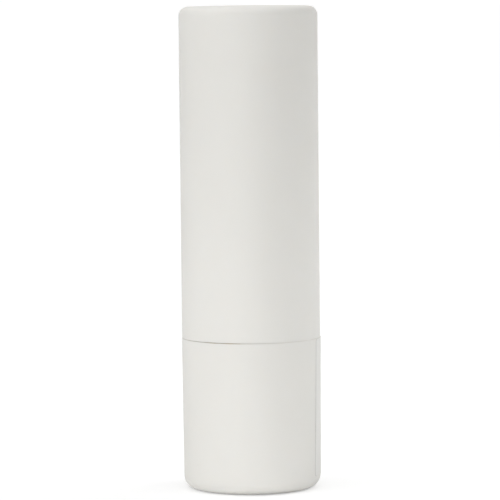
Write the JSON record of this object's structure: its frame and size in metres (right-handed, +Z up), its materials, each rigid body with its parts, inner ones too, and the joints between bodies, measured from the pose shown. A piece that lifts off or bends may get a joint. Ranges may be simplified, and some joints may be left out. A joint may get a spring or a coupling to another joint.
{
  "type": "lip balm stick",
  "caption": "Round twist-up lip balm stick with a pull-off cap, a turning base, a keyed barrel, a coarse screw and a domed balm.",
  "frame": {"origin": "centre of the flat foot of the base, where the stick stands", "axes": "+Z up along the stick's axis towards the cap's top, -Y towards the front, +X to the right of the front"},
  "size_m": [0.0197, 0.0197, 0.068],
  "materials": {
    "satin_shell": "off-white moulded plastic, smooth satin",
    "label": "blank white self-adhesive film, satin",
    "inner_plastic": "natural white moulded plastic",
    "balm": "cream wax, soft sheen"
  },
  "bodies": {
    "barrel": {"barrel": "inner_plastic"},
    "base": {"base": "satin_shell", "spindle": "inner_plastic", "rear_label": "label"},
    "carriage": {"elevator": "inner_plastic", "balm": "balm"},
    "cap": {"cap": "satin_shell"}
  },
  "joints": [
    {"name": "base_turn", "type": "hinge", "parent": "barrel", "child": "base", "pos_m": [0, 0, 0], "axis": [0, 0, 1], "range_deg": [0, 2160]},
    {"name": "balm_rise", "type": "slide", "parent": "barrel", "child": "carriage", "axis": [0, 0, 1], "range_m": [0, 0.036]},
    {"name": "cap_pull", "type": "slide", "parent": "carriage", "child": "cap", "axis": [0, 0, 1], "range_m": [0, 0.05]}
  ],
  "couplings": [
    {"joint": "balm_rise", "follows": "base_turn", "m_per_rad": 0.00095493}
  ]
}
